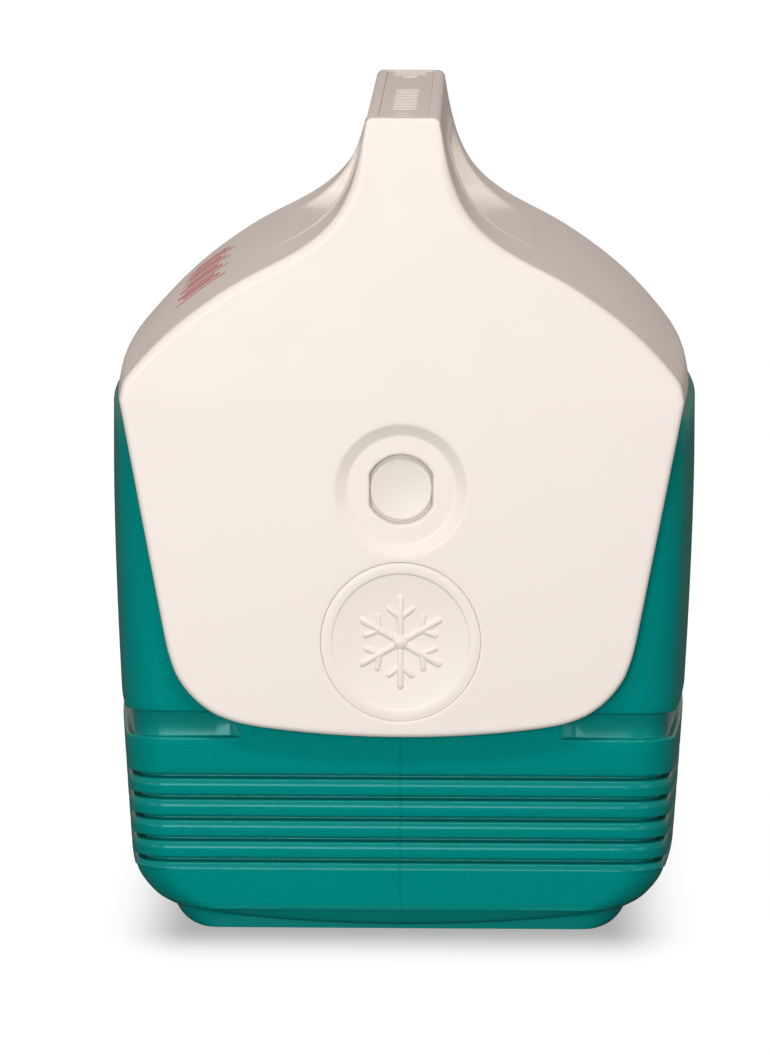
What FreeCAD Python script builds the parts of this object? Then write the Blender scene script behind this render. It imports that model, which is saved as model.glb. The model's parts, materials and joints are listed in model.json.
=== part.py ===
"""Small hard-sided personal cooler with a tent-top swing lid.

The tub stands on a low foot.  The lid is one moulding: a roof with a carrying
handle along its ridge and a flap down each end of the tub.  A round plug at
each flap is the pivot, so the whole lid swings over either long side, and a
sprung push button in the front end of the tub locks it upright.

Frame: X across the tub, Y along it with the button end at -Y, Z up.  The
origin is on the ground under the middle of the cooler.  Millimetres.
"""
import FreeCAD, Part
import math
import os
from FreeCAD import Vector

# ---- driving dimensions -------------------------------------------------
height = 280.0
length = 290.0

tub_half_width = 103.2          # mid-length, at the widest level
tub_half_length = 140.0
tub_corner = 14.0               # corner radius in plan
side_radius = 1470.0            # the long sides are slightly convex
rim_z = 183.0
shoulder_z = 176.0
swing_radius = 127.4            # the lid's edge passes just outside this about the pivot
shoulder_inset = 6.0
taper_start_z = 155.0
taper_end_z = 24.0
taper_width = 6.2               # how much each side draws in towards the base
taper_power = 1.575
taper_length_share = 0.3        # the ends draw in less than the sides

belt_low_z = 66.9               # recessed belt round the tub
belt_high_z = 75.8
belt_depth = 2.8
belt_bridge_half = 54.5         # the belt is interrupted in the middle of each end

rib_count = 5
rib_pitch = 7.27
rib_first_z = 54.2              # top edge of the highest groove
rib_depth = 2.5

belly_z = 7.3                   # where the belly curve meets the foot
belly_line = ((7.3, 82.6), (8.7, 85.7), (10.1, 88.1), (12.6, 91.0), (15.4, 93.4), (18.4, 95.3),
              (20.9, 96.3))     # height and half width of the rounded long lower edge
pan_low_z = 1.8                 # lowest point of the curved underside
foot_half_width = 77.8
foot_half_length = 134.0
foot_round_height = 7.6
foot_round_width = 9.6          # the foot's rounded lower edge is wider than it is high
foot_round_middle = (3.2, 2.6)  # inset and height half way round it
foot_corner = 16.0

shell_wall = 2.6
foot_wall = 3.0
ribbed_wall = 5.2
liner_wall = 2.0
liner_half_width = 86.5
liner_half_length = 124.0
liner_corner = 24.0
liner_floor_z = 30.0
liner_draft = 6.0
flange_half_width = 94.5
flange_half_length = 131.5
flange_corner = 12.0
flange_thick = 1.5

pivot_z = 101.0
spigot_radius = 9.0
bore_clearance = 0.08
bushing_radius = 12.0
bushing_flange = 16.0
bushing_depth = 13.0
washer_radius = 25.0

flap_thick = 3.2
flap_bottom_z = 68.0
flap_lean_deg = 0.8             # the end faces lean back above the lid's edge
lid_edge_z = 183.5
lid_wall = 2.4
lid_bulge = 4.3                 # the roof is this much wider mid-length
handle_half = 12.8
handle_edge = 2.5
grip_half_length = 76.0
grip_floor_z = 233.5
grip_roof_z = 264.0
grip_corner = 11.0
grip_wall = 1.8
vault_radius = 129.3            # clears the tub's rim as the lid swings
vault_liner = 1.4
vault_half_width = 72.0
lid_foam_half_width = 55.0
foam_gap = 1.0                  # left between the lid's foam and the finger opening's walls

plate_half_width = 8.7
plate_half_length = 137.0
plate_recess = 1.0
plate_thick = 0.7

plug_radius = 27.3
plug_recess = 1.6
plug_step = 0.4
plug_disc = 23.4
emblem_reach = 15.0
emblem_bar = 2.2

button_z = 153.1
hole_radius = 12.25
hole_flat = 11.0
dish_rim = 22.45
dish_floor = 18.7
dish_depth = 1.8
barrel_radius = 11.75
barrel_flat = 10.5
barrel_clearance = 0.08
button_face = 10.6
button_chamfer = 0.8
button_set_back = 0.25          # behind the flap's inner face
button_length = 7.6
button_wall = 1.8
button_collar = 13.2
collar_thick = 1.8
housing_radius = 16.0
housing_bore = 13.6
housing_depth = 13.0
housing_floor = 1.2
bezel_thick = 2.0
bezel_radius = 18.5
spring_radius = 7.6
spring_wire = 1.0
spring_turns = 5
wire_sides = 10                 # the wire's section is a ten-sided round

fill_plug_radius = 10.0

# ---- derived --------------------------------------------------------------
half_length = length / 2
flap_inner = half_length - flap_thick


def put(name, shape):
    shape.exportStep("parts/" + name + ".step")


def cylinder(radius, low, high, z, inner=0.0):
    """A round bar or tube along Y, from y = low to y = high."""
    bar = Part.makeCylinder(radius, high - low, Vector(0, low, z), Vector(0, 1, 0))
    if inner > 0:
        hole = Part.makeCylinder(inner, high - low + 2, Vector(0, low - 1, z), Vector(0, 1, 0))
        bar = bar.cut(hole)
    return bar


def cone(radius_low, radius_high, low, high, z):
    return Part.makeCone(radius_low, radius_high, high - low, Vector(0, low, z), Vector(0, 1, 0))


def two_flats(radius, flat, low, high, z):
    """A round bar along Y with a flat on its left and right."""
    bar = cylinder(radius, low, high, z)
    slab = Part.makeBox(2 * flat, high - low, 4 * radius, Vector(-flat, low, z - 2 * radius))
    return bar.common(slab)


def other_end(shape):
    """The same piece turned half round the vertical, for the rear end."""
    turned = shape.copy()
    turned.rotate(Vector(0, 0, 0), Vector(0, 0, 1), 180)
    return turned


def prism_y(outline, low, high):
    """Extrude a closed wire in the XZ plane from y = low to y = high."""
    wire = outline.copy()
    wire.translate(Vector(0, low, 0))
    return Part.Face(wire).extrude(Vector(0, high - low, 0))


# ---- tub ------------------------------------------------------------------
def plan_wire(half_w, half_l, corner, z):
    """Rounded rectangle at height z whose long sides are shallow arcs."""
    back = side_radius - half_w
    corner_y = half_l - corner
    corner_x = math.sqrt((side_radius - corner) ** 2 - corner_y ** 2) - back
    reach = side_radius / (side_radius - corner)
    touch_x = reach * (corner_x + back) - back
    touch_y = reach * corner_y
    turn = math.atan2(corner_y, corner_x + back)
    middle = (turn + math.pi / 2) / 2
    mid_x = corner_x + corner * math.cos(middle)
    mid_y = corner_y + corner * math.sin(middle)

    def at(x, y):
        return Vector(x, y, z)

    def arc(first, second, third):
        return Part.Arc(at(*first), at(*second), at(*third)).toShape()

    end, side = (corner_x, half_l), (touch_x, touch_y)
    edges = [
        Part.LineSegment(at(-end[0], -half_l), at(end[0], -half_l)).toShape(),
        arc((end[0], -half_l), (mid_x, -mid_y), (side[0], -side[1])),
        arc((side[0], -side[1]), (half_w, 0), side),
        arc(side, (mid_x, mid_y), end),
        Part.LineSegment(at(end[0], half_l), at(-end[0], half_l)).toShape(),
        arc((-end[0], half_l), (-mid_x, mid_y), (-side[0], side[1])),
        arc((-side[0], side[1]), (-half_w, 0), (-side[0], -side[1])),
        arc((-side[0], -side[1]), (-mid_x, -mid_y), (-end[0], -half_l)),
    ]
    return Part.Wire(edges)


def taper(z):
    """How far each long side has drawn in at height z."""
    share = max(0.0, (taper_start_z - z) / (taper_start_z - taper_end_z))
    return taper_width * share ** taper_power


def level(z, inset=0.0, corner=tub_corner):
    """The tub's outline at height z, drawn in everywhere by inset."""
    half_w = tub_half_width - taper(z) - inset
    half_l = tub_half_length - taper_length_share * taper(z) - inset
    return plan_wire(half_w, half_l, max(corner - inset, 4.0), z)


def belly_levels():
    """Round the long lower edges; the ends stay upright."""
    levels = []
    for z, half_w in belly_line:
        half_l = tub_half_length - taper_length_share * taper(z)
        levels.append(plan_wire(half_w, half_l, tub_corner, z))
    return levels


def rib_levels():
    """Grooves with a flat underside above and a chamfered lip below."""
    levels = []
    for i in reversed(range(rib_count)):
        top = rib_first_z - rib_pitch * i
        levels.append(level(top - 3.7))
        levels.append(level(top - 1.6, 1.5))
        levels.append(level(top - 1.5, rib_depth))
        levels.append(level(top - 0.2, rib_depth))
        levels.append(level(top))
    return levels


def shoulder_levels():
    """The shoulder follows the path of the lid's edge, then turns in at the rim."""
    levels = []
    for z, turn_in in ((177.5, 0.0), (179.0, 0.0), (180.5, 0.0), (181.8, 0.3), (182.6, 0.8), (rim_z, 1.6)):
        swing = tub_half_width - math.sqrt(swing_radius ** 2 - (z - pivot_z) ** 2)
        levels.append(level(z, swing + turn_in))
    return levels


def tub_outer():
    levels = belly_levels() + rib_levels()
    levels += [level(belt_low_z - 0.6), level(belt_low_z, 0.6)]
    levels += [level(belt_low_z + 0.1, belt_depth), level(belt_high_z - 0.3, belt_depth)]
    levels += [level(belt_high_z), level(95), level(120), level(taper_start_z)]
    levels += [level(shoulder_z)] + shoulder_levels()
    body = Part.makeLoft(levels, True, True)
    for side in (-1, 1):
        body = body.fuse(belt_bridge(side))
    return body.fuse([underside_pan(), foot()])


def belt_bridge(side):
    """The tub's end is flush across its middle, with round-ended grooves."""
    middle = (belt_low_z + belt_high_z) / 2
    radius = (belt_high_z - belt_low_z) / 2
    face = side * (tub_half_length - taper_length_share * taper(middle))
    inner = face - side * 8.0
    low, high = min(face, inner), max(face, inner)
    block = Part.makeBox(2 * belt_bridge_half + 2 * radius, high - low, 2 * radius,
                         Vector(-belt_bridge_half - radius, low, belt_low_z))
    for way in (-1, 1):
        end = Part.makeCylinder(radius, high - low + 2,
                                Vector(way * (belt_bridge_half + radius), low - 1, middle),
                                Vector(0, 1, 0))
        block = block.cut(end)
    return block


def underside_pan():
    """The tub's underside bows down to just above the ground."""
    face = tub_half_length - taper_length_share * taper(belly_z)
    arc = Part.Arc(Vector(-foot_half_width, 0, belly_z + 0.2), Vector(0, 0, pan_low_z),
                   Vector(foot_half_width, 0, belly_z + 0.2)).toShape()
    corners = [Vector(foot_half_width, 0, belly_z + 0.2), Vector(foot_half_width, 0, belly_z + 1.5),
               Vector(-foot_half_width, 0, belly_z + 1.5), Vector(-foot_half_width, 0, belly_z + 0.2)]
    lines = [Part.LineSegment(a, b).toShape() for a, b in zip(corners, corners[1:])]
    pan = prism_y(Part.Wire([arc] + lines), -face, face)
    bevel = [(-face, 20.0), (-face, 7.0), (-face + 3.0, 0.0), (face - 3.0, 0.0), (face, 7.0),
             (face, 20.0), (-face, 20.0)]
    profile = Part.makePolygon([Vector(-120, y, z) for y, z in bevel])
    outline = belly_levels()[0]
    outline.translate(Vector(0, 0, -belly_z - 1))
    pan = pan.common(Part.Face(profile).extrude(Vector(240, 0, 0)))
    return pan.common(Part.Face(outline).extrude(Vector(0, 0, belly_z + 4)))


def foot():
    """Low plinth with rounded lower edges."""
    top = belly_z + 1.5
    flat = foot_half_width - foot_round_width
    dip, mid_z = foot_round_middle
    left = Part.Arc(Vector(-foot_half_width, 0, foot_round_height), Vector(-foot_half_width + dip, 0, mid_z),
                    Vector(-flat, 0, 0)).toShape()
    right = Part.Arc(Vector(flat, 0, 0), Vector(foot_half_width - dip, 0, mid_z),
                     Vector(foot_half_width, 0, foot_round_height)).toShape()
    lines = [Part.LineSegment(Vector(-flat, 0, 0), Vector(flat, 0, 0)).toShape()]
    ring = [Vector(foot_half_width, 0, foot_round_height), Vector(foot_half_width, 0, top),
            Vector(-foot_half_width, 0, top), Vector(-foot_half_width, 0, foot_round_height)]
    lines += [Part.LineSegment(a, b).toShape() for a, b in zip(ring, ring[1:])]
    profile = Part.Wire(Part.__sortEdges__([left, right] + lines))
    block = prism_y(profile, -foot_half_length, foot_half_length)
    outline = plan_wire(foot_half_width + 4.0, foot_half_length, foot_corner, -1.0)
    return block.common(Part.Face(outline).extrude(Vector(0, 0, top + 2)))


def tub_cavity():
    """The space inside the outer shell."""
    levels = []
    for z, half_w, half_l in ((foot_wall, 66.0, 126.0), (9.0, 69.0, 128.0), (9.6, 78.0, 132.0),
                              (taper_end_z, 92.0, 133.0)):
        levels.append(plan_wire(half_w, half_l, 9.0, z))
    levels += [level(belt_high_z + 2, ribbed_wall), level(belt_high_z + 6, shell_wall)]
    levels += [level(taper_start_z, shell_wall), level(shoulder_z, shell_wall)]
    levels += [level(rim_z - shell_wall, shoulder_inset)]
    return Part.makeLoft(levels, True, True)


def rim_opening(low, high):
    half_w, half_l = flange_half_width - 3.0, flange_half_length - 3.0
    wire = plan_wire(half_w, half_l, flange_corner, low)
    return Part.Face(wire).extrude(Vector(0, 0, high - low))


def liner_block(grow, floor_z, top_z):
    """The liner's own tapered form, grown outwards by grow."""
    top = plan_wire(liner_half_width + grow, liner_half_length + grow, liner_corner + grow, top_z)
    step = plan_wire(liner_half_width - liner_draft + grow, liner_half_length - liner_draft + grow,
                     liner_corner + grow, floor_z + 6)
    base = plan_wire(liner_half_width - liner_draft - 5 + grow, liner_half_length - liner_draft - 5 + grow,
                     liner_corner - 4 + grow, floor_z)
    return Part.makeLoft([base, step, top], True, True)


def outer_shell():
    shell = tub_outer().cut(tub_cavity()).cut(rim_opening(rim_z - 6, rim_z + 2))
    low = -tub_half_length - 2
    shell = shell.cut(cylinder(bushing_radius, low, low + 12, pivot_z))
    shell = shell.cut(cylinder(bushing_radius, -low - 12, -low, pivot_z))
    shell = shell.cut(cylinder(housing_radius, low, low + 12, button_z))
    hole = Part.makeCylinder(fill_plug_radius, foot_wall + 2, Vector(0, 0, -1), Vector(0, 0, 1))
    return shell.cut(hole)


def fill_plug():
    """Closes the hole that the insulating foam is poured through."""
    stem = Part.makeCylinder(fill_plug_radius, foot_wall - 0.6, Vector(0, 0, 0.6), Vector(0, 0, 1))
    slot = Part.makeBox(12, 2, 1.2, Vector(-6, -1, 0.6))
    return stem.cut(slot)


def tub_liner():
    top = rim_z + flange_thick
    flange_wire = plan_wire(flange_half_width, flange_half_length, flange_corner, rim_z)
    flange = Part.Face(flange_wire).extrude(Vector(0, 0, flange_thick))
    outer = liner_block(liner_wall, liner_floor_z - liner_wall, rim_z)
    inner = liner_block(0.0, liner_floor_z, top)
    return outer.fuse(flange).cut(inner)


def tub_foam():
    """Insulation between the outer shell and the liner."""
    fill = tub_cavity()
    fill = fill.cut(liner_block(liner_wall, liner_floor_z - liner_wall, rim_z))
    low = -tub_half_length - 2
    fill = fill.cut(cylinder(bushing_radius, low, -tub_half_length + bushing_depth, pivot_z))
    fill = fill.cut(cylinder(bushing_radius, tub_half_length - bushing_depth, -low, pivot_z))
    fill = fill.cut(cylinder(housing_radius, low, -tub_half_length + housing_depth, button_z))
    return fill


# ---- pivots (front end; the rear ones are the same, turned round) -----------
def pivot_bushing():
    """Cup let into the tub's end, with a flange outside."""
    back = -tub_half_length + bushing_depth
    face = -tub_half_length - 0.2
    bore = spigot_radius + bore_clearance
    cup = cylinder(bushing_radius, face, back, pivot_z)
    flange = cylinder(bushing_flange, face - 0.6, face, pivot_z)
    groove = cylinder(bore + 1.4, back - 3.6, back - 2.0, pivot_z)
    return cup.fuse(flange).cut(cylinder(bore, face - 2, back - 1.2, pivot_z)).cut(groove)


def pivot_washer():
    """Low-friction ring between the bushing's flange and the flap."""
    return cylinder(washer_radius, -flap_inner, -flap_inner + 0.8, pivot_z, spigot_radius)


def pivot_plug():
    """Round plug set into the flap; its spigot is the lid's axle."""
    front = -half_length + plug_step
    back = -half_length + plug_recess
    disc = cylinder(plug_radius, front, back, pivot_z)
    disc = disc.cut(cylinder(plug_disc, front - 1, front + plug_step, pivot_z))
    spigot_end = -tub_half_length + bushing_depth - 1.5
    spigot = cylinder(spigot_radius, back, spigot_end, pivot_z)
    groove = cylinder(spigot_radius + 1, spigot_end - 1.9, spigot_end - 0.7, pivot_z, spigot_radius - 1.2)
    hollow = cylinder(spigot_radius - 3.0, back + 1, spigot_end + 1, pivot_z)
    body = disc.fuse(spigot).cut(groove).cut(hollow)
    return body.fuse(emblem(front + plug_step))


def emblem(face):
    """Plain six-armed snow crystal in low relief."""
    pieces = []
    for turn in range(6):
        arm = Part.makeBox(emblem_bar, plug_step * 0.9, emblem_reach,
                           Vector(-emblem_bar / 2, face - plug_step * 0.9, 0))
        for way in (-1, 1):
            twig = Part.makeBox(emblem_bar * 0.8, plug_step * 0.9, 5.2,
                                Vector(-emblem_bar * 0.4, face - plug_step * 0.9, 0))
            twig.rotate(Vector(0, 0, 0), Vector(0, 1, 0), 52 * way)
            twig.translate(Vector(0, 0, emblem_reach * 0.55))
            arm = arm.fuse(twig)
        arm.rotate(Vector(0, 0, 0), Vector(0, 1, 0), 60 * turn)
        arm.translate(Vector(0, 0, pivot_z))
        pieces.append(arm)
    return pieces[0].fuse(pieces[1:])


def pivot_clip():
    """Split ring that keeps the spigot in its cup."""
    spigot_end = -tub_half_length + bushing_depth - 1.5
    ring = cylinder(spigot_radius + 1.0, spigot_end - 1.8, spigot_end - 0.8, pivot_z, spigot_radius - 1.2)
    gap = Part.makeBox(3.0, 4.0, 20.0, Vector(-1.5, spigot_end - 3, pivot_z))
    return ring.cut(gap)


# ---- lid --------------------------------------------------------------------
def roof_points():
    """Half of the roof's outline at a flap, from its edge up to the handle."""
    return [(95.2, 189.7), (84.6, 201.8), (67.8, 216.0), (52.6, 225.7), (36.6, 234.2),
            (22.8, 246.4), (15.8, 262.6), (handle_half, height - handle_edge)]


def inset_points(points, distance):
    """Each point moved into the lid by distance, square to the outline."""
    moved = []
    for i, (x, z) in enumerate(points):
        before = points[max(i - 1, 0)]
        after = points[min(i + 1, len(points) - 1)]
        run, rise = after[0] - before[0], after[1] - before[1]
        size = math.hypot(run, rise)
        moved.append((x - distance * rise / size, z + distance * run / size))
    return moved


def roof_wire(y, inset=0.0, edge_z=lid_edge_z):
    """Closed outline of the roof at y; inset gives the inner surface."""
    points = roof_points()
    edge = points[0][0] + 1.0
    crown = height - inset
    grip = handle_half - inset
    if inset > 0:
        points = inset_points(points, inset)
        points[-1] = (grip, crown - handle_edge)
    bulge = lid_bulge * (1 - (y / half_length) ** 2)

    def wide(x):
        return x + bulge * max(0.0, x - handle_half) / (edge - handle_half)

    def at(x, z):
        return Vector(x, y, z)

    outline = [(wide(x), z) for x, z in points]
    low = (wide(edge - inset), edge_z)
    top = grip - handle_edge
    edges = []
    for way in (1, -1):
        curve = Part.BSplineCurve()
        curve.interpolate([at(way * x, z) for x, z in outline])
        tip = Part.LineSegment(at(way * low[0], low[1]), at(way * outline[0][0], outline[0][1]))
        bend = handle_edge * (1 - math.sqrt(0.5))
        corner = Part.Arc(at(way * grip, crown - handle_edge), at(way * (grip - bend), crown - bend),
                          at(way * top, crown))
        edges += [tip.toShape(), curve.toShape(), corner.toShape()]
    edges.append(Part.LineSegment(at(top, crown), at(-top, crown)).toShape())
    edges.append(Part.LineSegment(at(-low[0], edge_z), at(low[0], edge_z)).toShape())
    return Part.Wire(Part.__sortEdges__(edges))


def roof_block(half, inset=0.0, edge_z=lid_edge_z):
    """The roof from y = -half to y = half, as one solid."""
    stations = [half * share for share in (-1.0, -0.5, 0.0, 0.5, 1.0)]
    return Part.makeLoft([roof_wire(y, inset, edge_z) for y in stations], True, False)


def grip_block(grow):
    """The finger opening that runs through under the handle."""
    half, low, high = grip_half_length + grow, grip_floor_z - grow, grip_roof_z + grow
    radius = grip_corner + grow
    block = Part.makeBox(300, 2 * half, high - low, Vector(-150, -half, low))
    long_edges = [e for e in block.Edges if abs(e.tangentAt(e.FirstParameter).x) > 0.9]
    return block.makeFillet(radius, long_edges)


def flap_wire():
    """Flap outline below the roof: leaning sides, round corners, bowed bottom."""
    edge = roof_points()[0][0] + 1.0
    low_side = (79.9, 98.5)
    corner = (71.0, 81.4)
    heel = (54.1, 72.1)

    def at(x, z):
        return Vector(x, 0, z)

    edges = [Part.LineSegment(at(edge, lid_edge_z), at(*low_side)).toShape(),
             Part.Arc(at(*low_side), at(*corner), at(*heel)).toShape(),
             Part.Arc(at(*heel), at(0, flap_bottom_z), at(-heel[0], heel[1])).toShape(),
             Part.Arc(at(-heel[0], heel[1]), at(-corner[0], corner[1]),
                      at(-low_side[0], low_side[1])).toShape(),
             Part.LineSegment(at(-low_side[0], low_side[1]), at(-edge, lid_edge_z)).toShape(),
             Part.LineSegment(at(-edge, lid_edge_z), at(edge, lid_edge_z)).toShape()]
    return Part.Wire(edges)


def face_cutter(side):
    """A wedge that leans the upper end face back."""
    wedge = Part.makeBox(300, 20, 150, Vector(-150, 0, 0))
    if side < 0:
        wedge.translate(Vector(0, -20, 0))
    wedge.rotate(Vector(0, 0, 0), Vector(1, 0, 0), side * flap_lean_deg)
    wedge.translate(Vector(0, side * half_length, lid_edge_z))
    return wedge


def lid_outer():
    body = roof_block(half_length)
    front = prism_y(flap_wire(), -half_length, -flap_inner)
    rear = prism_y(flap_wire(), flap_inner, half_length)
    body = body.fuse([front, rear])
    for side in (-1, 1):
        body = body.cut(face_cutter(side))
    return body.removeSplitter()


def lid_cavity():
    inner = roof_block(flap_inner, lid_wall, lid_edge_z - 30)
    return inner.cut(grip_block(grip_wall))


def lid_shell():
    shell = lid_outer().cut(grip_block(0.0)).cut(lid_cavity())
    recess = Part.makeBox(2 * plate_half_width, 2 * plate_half_length, plate_recess + 1,
                          Vector(-plate_half_width, -plate_half_length, height - plate_recess))
    shell = shell.cut(recess)
    for side in (-1, 1):
        seat = cylinder(plug_radius + 0.1, -half_length - 1, -half_length + plug_recess, pivot_z)
        hole = cylinder(spigot_radius, -half_length - 1, -flap_inner + 1, pivot_z)
        cutter = seat.fuse(hole)
        shell = shell.cut(cutter if side < 0 else other_end(cutter))
    dish_back = -half_length + dish_depth
    dish = cone(dish_rim, dish_floor, -half_length, dish_back, button_z)
    shell = shell.cut(dish)
    return shell.cut(two_flats(hole_radius, hole_flat, -half_length - 1, -flap_inner + 1, button_z))


def vault_ring(inner, outer, half_width, top):
    """Part of a tube about the pivot axis, inside the roof."""
    ring = cylinder(outer, -flap_inner, flap_inner, pivot_z)
    ring = ring.cut(cylinder(inner, -flap_inner - 1, flap_inner + 1, pivot_z))
    slab = Part.makeBox(2 * half_width, 2 * flap_inner, top - lid_edge_z,
                        Vector(-half_width, -flap_inner, lid_edge_z))
    return ring.common(slab)


def lid_liner():
    return vault_ring(vault_radius, vault_radius + vault_liner, vault_half_width, height).common(lid_cavity())


def lid_foam():
    slab = Part.makeBox(2 * lid_foam_half_width, 2 * flap_inner, height - lid_edge_z,
                        Vector(-lid_foam_half_width, -flap_inner, lid_edge_z))
    fill = lid_cavity().common(slab).cut(grip_block(grip_wall + foam_gap))
    return fill.cut(cylinder(vault_radius + vault_liner, -half_length, half_length, pivot_z))


def handle_plate():
    """Thin strip let into the top of the handle."""
    return Part.makeBox(2 * plate_half_width, 2 * plate_half_length, plate_thick,
                        Vector(-plate_half_width, -plate_half_length, height - plate_recess))


# ---- push button --------------------------------------------------------------
def push_button():
    """Hollow barrel with two flats, a chamfered face and a stop collar."""
    front = -flap_inner + button_set_back
    back = front + button_length
    barrel = two_flats(barrel_radius, barrel_flat, front, back, button_z)
    nose = cone(button_face, button_face + button_chamfer + 20, front, front + button_chamfer + 20, button_z)
    barrel = barrel.common(nose)
    collar = cylinder(button_collar, back - collar_thick, back, button_z)
    hollow = cylinder(spring_radius + 0.9, front + button_wall, back + 1, button_z)
    return barrel.fuse(collar).cut(hollow)


def latch_housing():
    """Cup in the tub's end that holds the button and its spring."""
    back = -tub_half_length + housing_depth
    cup = cylinder(housing_radius, -tub_half_length, back, button_z)
    return cup.cut(cylinder(housing_bore, -tub_half_length - 1, back - housing_floor, button_z))


def button_bezel():
    """Ring that guides the button's flats and keeps it in the cup."""
    face = -tub_half_length - 1.0
    flange = cylinder(bezel_radius, face, -tub_half_length, button_z)
    stop = cylinder(housing_bore, -tub_half_length, -tub_half_length + bezel_thick, button_z)
    guide = two_flats(barrel_radius + barrel_clearance, barrel_flat + barrel_clearance,
                      face - 1, -tub_half_length + bezel_thick + 1, button_z)
    return flange.fuse(stop).cut(guide)


def button_spring():
    """Coil spring between the button and the cup's floor."""
    start = -flap_inner + button_set_back + button_wall + spring_wire / 2
    end = -tub_half_length + housing_depth - housing_floor - spring_wire / 2
    reach = end - start
    helix = Part.makeHelix(reach / spring_turns, reach, spring_radius - spring_wire / 2)
    turns = [2 * math.pi * k / wire_sides for k in range(wire_sides + 1)]
    section = [Vector(spring_radius - spring_wire / 2 + spring_wire / 2 * math.cos(a), 0,
                      spring_wire / 2 * math.sin(a)) for a in turns]
    coil = Part.Wire(helix.Edges).makePipeShell([Part.makePolygon(section)], True, True)
    coil.rotate(Vector(0, 0, 0), Vector(1, 0, 0), -90)
    coil.translate(Vector(0, start, button_z))
    return coil


def main():
    os.makedirs("parts", exist_ok=True)
    put("outer_shell", outer_shell())
    put("fill_plug", fill_plug())
    put("tub_liner", tub_liner())
    put("tub_foam", tub_foam())
    put("latch_housing", latch_housing())
    put("button_bezel", button_bezel())
    put("button_spring", button_spring())
    put("push_button", push_button())
    put("lid_shell", lid_shell())
    put("lid_liner", lid_liner())
    put("lid_foam", lid_foam())
    put("handle_plate", handle_plate())
    for name, make in (("pivot_bushing", pivot_bushing), ("pivot_washer", pivot_washer),
                       ("pivot_plug", pivot_plug), ("pivot_clip", pivot_clip)):
        piece = make()
        put(name + "_front", piece)
        put(name + "_rear", other_end(piece))


main()
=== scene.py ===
"""Looks of a small personal cooler: ribbed teal tub and cream tent-top lid.

Shapes are worked out in millimetres in the frame's own axes and scaled to metres
when a mesh is made: X across, Y from the button end to the rear end, Z up.
"""
import json
import math

import bmesh
import bpy
import numpy as np
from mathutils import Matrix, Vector
from mathutils.geometry import delaunay_2d_cdt


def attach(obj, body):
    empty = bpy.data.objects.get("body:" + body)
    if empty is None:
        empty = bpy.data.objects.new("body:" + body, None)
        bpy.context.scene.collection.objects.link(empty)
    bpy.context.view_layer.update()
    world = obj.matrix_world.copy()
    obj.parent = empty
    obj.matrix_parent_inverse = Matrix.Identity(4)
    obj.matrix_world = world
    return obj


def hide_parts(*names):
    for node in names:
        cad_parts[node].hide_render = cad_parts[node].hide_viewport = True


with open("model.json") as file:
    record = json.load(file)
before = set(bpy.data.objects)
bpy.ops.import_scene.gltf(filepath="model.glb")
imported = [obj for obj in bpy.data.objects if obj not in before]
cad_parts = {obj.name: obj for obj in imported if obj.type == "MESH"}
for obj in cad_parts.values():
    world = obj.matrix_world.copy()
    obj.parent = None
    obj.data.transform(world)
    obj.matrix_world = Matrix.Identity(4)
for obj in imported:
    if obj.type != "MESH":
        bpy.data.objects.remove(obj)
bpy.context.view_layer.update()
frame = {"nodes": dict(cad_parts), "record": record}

MM = 0.001

# ---- lid dimensions, mm ---------------------------------------------------
half_length = 145.0
height = 280.0
flap_inner = 141.8
lid_edge_z = 183.5
lid_wall = 2.4
lid_bulge = 4.3
tip_x = 96.2
handle_half = 12.8
handle_edge = 2.5
lean = math.tan(math.radians(0.8))
roof_knots = [(95.2, 189.7), (84.6, 201.8), (67.8, 216.0), (52.6, 225.7), (36.6, 234.2),
              (22.8, 246.4), (15.8, 262.6), (12.8, 277.5)]
flap_low_side = (79.9, 98.5)
flap_corner = (71.0, 81.4)
flap_heel = (54.1, 72.1)
flap_bottom_z = 68.0
grip_half = 76.0
grip_low = 233.5
grip_high = 264.0
grip_corner = 11.0
grip_wall = 1.8
# raised bead round the finger opening: how far out from its edge, and how far below the roof
grip_bead = [(0.0, 1.6), (0.15, 0.5), (0.6, -0.3), (1.3, -0.8), (2.1, -0.95), (2.9, -0.7), (3.6, -0.2),
             (4.2, 0.0)]
plate_half_width = 8.7
plate_half_length = 137.0
plate_recess = 1.0
plate_corner = 1.2

# ---- pivot and button, mm -------------------------------------------------
pivot_z = 101.0
seat_radius = 27.4
seat_depth = 1.6
spigot_radius = 9.0
button_z = 153.1
housing_radius = 16.0
bushing_radius = 12.0
drill_depth = 15.0              # the holes go right through the tub's end wall
dish_rim = 22.45
dish_floor = 18.7
dish_depth = 1.8
hole_radius = 12.25
hole_flat = 11.0
button_set_back = 0.25          # the button's face is this far behind the flap's inner face
button_length = 7.6
barrel_radius = 11.75
barrel_flat = 10.5

# ---- tub dimensions, mm ---------------------------------------------------
tub_half_width = 103.2
tub_half_length = 140.0
tub_corner = 14.0
side_radius = 1470.0
rim_z = 183.0
shoulder_z = 176.0
shoulder_inset = 6.0
taper_start_z = 155.0
taper_end_z = 24.0
taper_width = 6.2
taper_power = 1.575
taper_length_share = 0.3
belt_low_z = 66.9
belt_high_z = 75.8
belt_depth = 2.8
belt_bridge_half = 54.5
rib_count = 5
rib_pitch = 7.27
rib_first_z = 54.2
rib_depth = 4.2
belly_z = 7.3
belly_knots = [(82.6, 7.3), (85.7, 8.7), (88.1, 10.1), (91.0, 12.6), (93.4, 15.4), (95.3, 18.4),
               (96.3, 20.9)]
pan_low_z = 1.8
foot_half_width = 77.8
foot_half_length = 134.0
foot_corner = 16.0
foot_end_inset = 1.2            # the foot's ends draw in no more than this
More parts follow.
